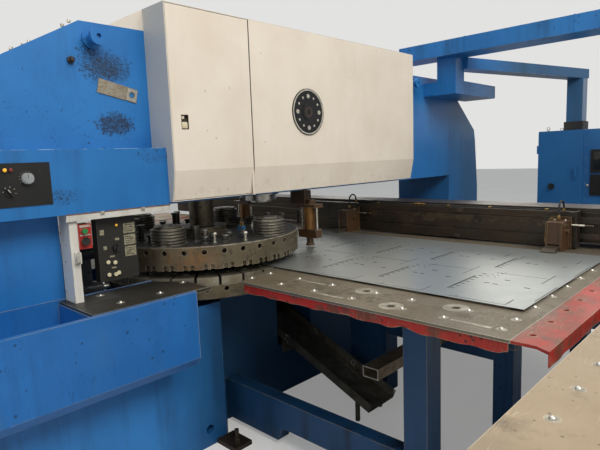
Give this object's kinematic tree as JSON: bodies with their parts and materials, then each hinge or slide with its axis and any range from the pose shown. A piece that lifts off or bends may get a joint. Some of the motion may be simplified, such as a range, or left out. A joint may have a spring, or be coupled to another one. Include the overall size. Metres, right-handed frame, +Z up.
{
  "type": "cnc turret punch press",
  "caption": "Turret punch press with a C-shaped frame, coupled turrets, ram, ball tables, a travelling carriage whose workholders grip a punched sheet, and a control cabinet.",
  "frame": {"origin": "on the floor, under the centre of the punch", "axes": "+Y along the frame towards the far end, +X across the table towards the operator side, +Z up"},
  "size_m": [6.03, 6.17, 2.453],
  "materials": {
    "blue_paint": "worn gloss",
    "dark_blue_paint": "worn satin",
    "cream_paint": "satin",
    "white_paint": "satin",
    "red_paint": "worn satin",
    "black_paint": "satin",
    "grey_paint": "satin",
    "table_steel": "worn, scratched",
    "side_table_steel": "worn",
    "dark_steel": "oily",
    "turret_steel": "oily, stained",
    "bright_steel": "bright",
    "tube_steel": "bare",
    "spring_steel": "oily",
    "cast_grey": "machined",
    "brown_paint": "worn",
    "sheet_metal": "mill finish",
    "black_rubber": "matt",
    "black_plastic": "satin",
    "grey_plastic": "satin",
    "green_plastic": "gloss"
  },
  "bodies": {
    "frame": {"frame": "blue_paint", "anchor_feet": "dark_steel", "lifting_lugs": "blue_paint", "side_box": "blue_paint", "side_panel": "black_paint", "tray_box": "blue_paint", "shelf_plate": "table_steel", "lamp_reflector": "white_paint", "guard_post": "white_paint", "button_box": "red_paint", "operator_panel": "grey_paint", "hood_shell": "cream_paint", "hood_panel": "cream_paint", "emblem_disc": "black_paint", "drive_motor": "grey_paint", "drive_belt": "black_rubber", "ram_guide": "bright_steel", "index_housing": "grey_paint", "hold_down_units": "brown_paint", "centre_table": "table_steel", "table_trim": "red_paint", "ball_transfers": "bright_steel", "table_frame": "dark_blue_paint", "support_tube": "tube_steel", "scrap_chute": "bright_steel", "slide_rails": "grey_paint", "overhead_duct": "blue_paint", "duct_bracket": "blue_paint", "cable_arm": "blue_paint", "arm_collar": "black_rubber", "cabinet": "blue_paint", "console_screen": "black_paint"},
    "upper_turret": {"upper_turret": "turret_steel", "spring_stations": "spring_steel", "punch_heads": "bright_steel"},
    "lower_turret": {"lower_turret": "turret_steel", "die_blocks": "dark_steel"},
    "ram": {"ram": "bright_steel"},
    "index_pins": {"index_pins": "bright_steel"},
    "hold_down_right": {"hold_down_foot_right": "brown_paint"},
    "hold_down_left": {"hold_down_foot_left": "brown_paint"},
    "carriage_base": {"carriage_base": "dark_steel", "side_tables": "side_table_steel", "side_table_balls": "bright_steel"},
    "cross_carriage": {"cross_carriage": "dark_steel", "workholders": "brown_paint", "punched_sheet": "sheet_metal", "carriage_hoses": "black_rubber"},
    "jaw_right": {"jaw_right": "tube_steel"},
    "jaw_left": {"jaw_left": "tube_steel"},
    "flywheel": {"flywheel": "cast_grey"},
    "motor_pulley": {"motor_pulley": "bright_steel"},
    "hood_door": {"hood_door": "cream_paint", "door_latch": "black_plastic"},
    "cabinet_door": {"cabinet_door": "blue_paint"},
    "cabinet_switch": {"cabinet_switch": "black_plastic"},
    "start_button": {"start_button": "green_plastic"},
    "stop_button": {"stop_button": "black_plastic"},
    "panel_knob": {"panel_knob": "grey_plastic"},
    "operator_knob": {"operator_knob": "black_plastic"}
  },
  "joints": [
    {"name": "upper_turret_turn", "type": "hinge", "parent": "frame", "child": "upper_turret", "pos_m": [0, -0.501, 1.05], "axis": [0, 0, 1], "continuous": true},
    {"name": "lower_turret_turn", "type": "hinge", "parent": "frame", "child": "lower_turret", "pos_m": [0, -0.501, 0.87], "axis": [0, 0, 1], "continuous": true},
    {"name": "ram_stroke", "type": "slide", "parent": "frame", "child": "ram", "axis": [0, 0, 1], "range_m": [-0.032, 0]},
    {"name": "index_pin_slide", "type": "slide", "parent": "frame", "child": "index_pins", "axis": [0.0872, 0.9962, 0], "range_m": [0, 0.02]},
    {"name": "hold_down_right_slide", "type": "slide", "parent": "frame", "child": "hold_down_right", "axis": [0, 0, 1], "range_m": [-0.0095, 0]},
    {"name": "hold_down_left_slide", "type": "slide", "parent": "frame", "child": "hold_down_left", "axis": [0, 0, 1], "range_m": [-0.0095, 0]},
    {"name": "carriage_y_slide", "type": "slide", "parent": "frame", "child": "carriage_base", "axis": [0, 1, 0], "range_m": [-0.5, 0.77]},
    {"name": "carriage_x_slide", "type": "slide", "parent": "carriage_base", "child": "cross_carriage", "axis": [1, 0, 0], "range_m": [-1.83, 0.1]},
    {"name": "jaw_right_hinge", "type": "hinge", "parent": "cross_carriage", "child": "jaw_right", "pos_m": [1.66, 0.815, 0.9688], "axis": [-1, 0, 0], "range_deg": [0, 8]},
    {"name": "jaw_left_hinge", "type": "hinge", "parent": "cross_carriage", "child": "jaw_left", "pos_m": [0.08, 0.815, 0.9688], "axis": [-1, 0, 0], "range_deg": [0, 8]},
    {"name": "flywheel_turn", "type": "hinge", "parent": "frame", "child": "flywheel", "pos_m": [0.345, 0, 1.823], "axis": [1, 0, 0], "continuous": true},
    {"name": "motor_pulley_turn", "type": "hinge", "parent": "frame", "child": "motor_pulley", "pos_m": [0.345, 0.76, 1.823], "axis": [1, 0, 0], "continuous": true},
    {"name": "hood_door_hinge", "type": "hinge", "parent": "frame", "child": "hood_door", "pos_m": [0.462, -0.464, 1.83], "axis": [0, 0, 1], "range_deg": [0, 100]},
    {"name": "cabinet_door_hinge", "type": "hinge", "parent": "frame", "child": "cabinet_door", "pos_m": [0.658, 3.398, 0.9], "axis": [0, 0, -1], "range_deg": [0, 110]},
    {"name": "cabinet_switch_turn", "type": "hinge", "parent": "cabinet_door", "child": "cabinet_switch", "pos_m": [0.807, 3.39, 1.149], "axis": [0, 1, 0], "range_deg": [0, 90]},
    {"name": "start_button_press", "type": "slide", "parent": "frame", "child": "start_button", "axis": [-1, 0, 0], "range_m": [0, 0.004], "stiffness_N_per_m": 500, "springref_m": -0.001},
    {"name": "stop_button_press", "type": "slide", "parent": "frame", "child": "stop_button", "axis": [-1, 0, 0], "range_m": [0, 0.004], "stiffness_N_per_m": 500, "springref_m": -0.001},
    {"name": "panel_knob_turn", "type": "hinge", "parent": "frame", "child": "panel_knob", "pos_m": [0.43, -1.633, 1.505], "axis": [1, 0, 0], "range_deg": [-135, 135]},
    {"name": "operator_knob_turn", "type": "hinge", "parent": "frame", "child": "operator_knob", "pos_m": [0.36, -1.248, 1.156], "axis": [1, 0, 0], "range_deg": [-45, 45]}
  ],
  "couplings": [
    {"joint": "lower_turret_turn", "follows": "upper_turret_turn", "ratio": 1},
    {"joint": "hold_down_left_slide", "follows": "hold_down_right_slide", "ratio": 1},
    {"joint": "jaw_left_hinge", "follows": "jaw_right_hinge", "ratio": 1},
    {"joint": "motor_pulley_turn", "follows": "flywheel_turn", "ratio": 3.8049}
  ]
}
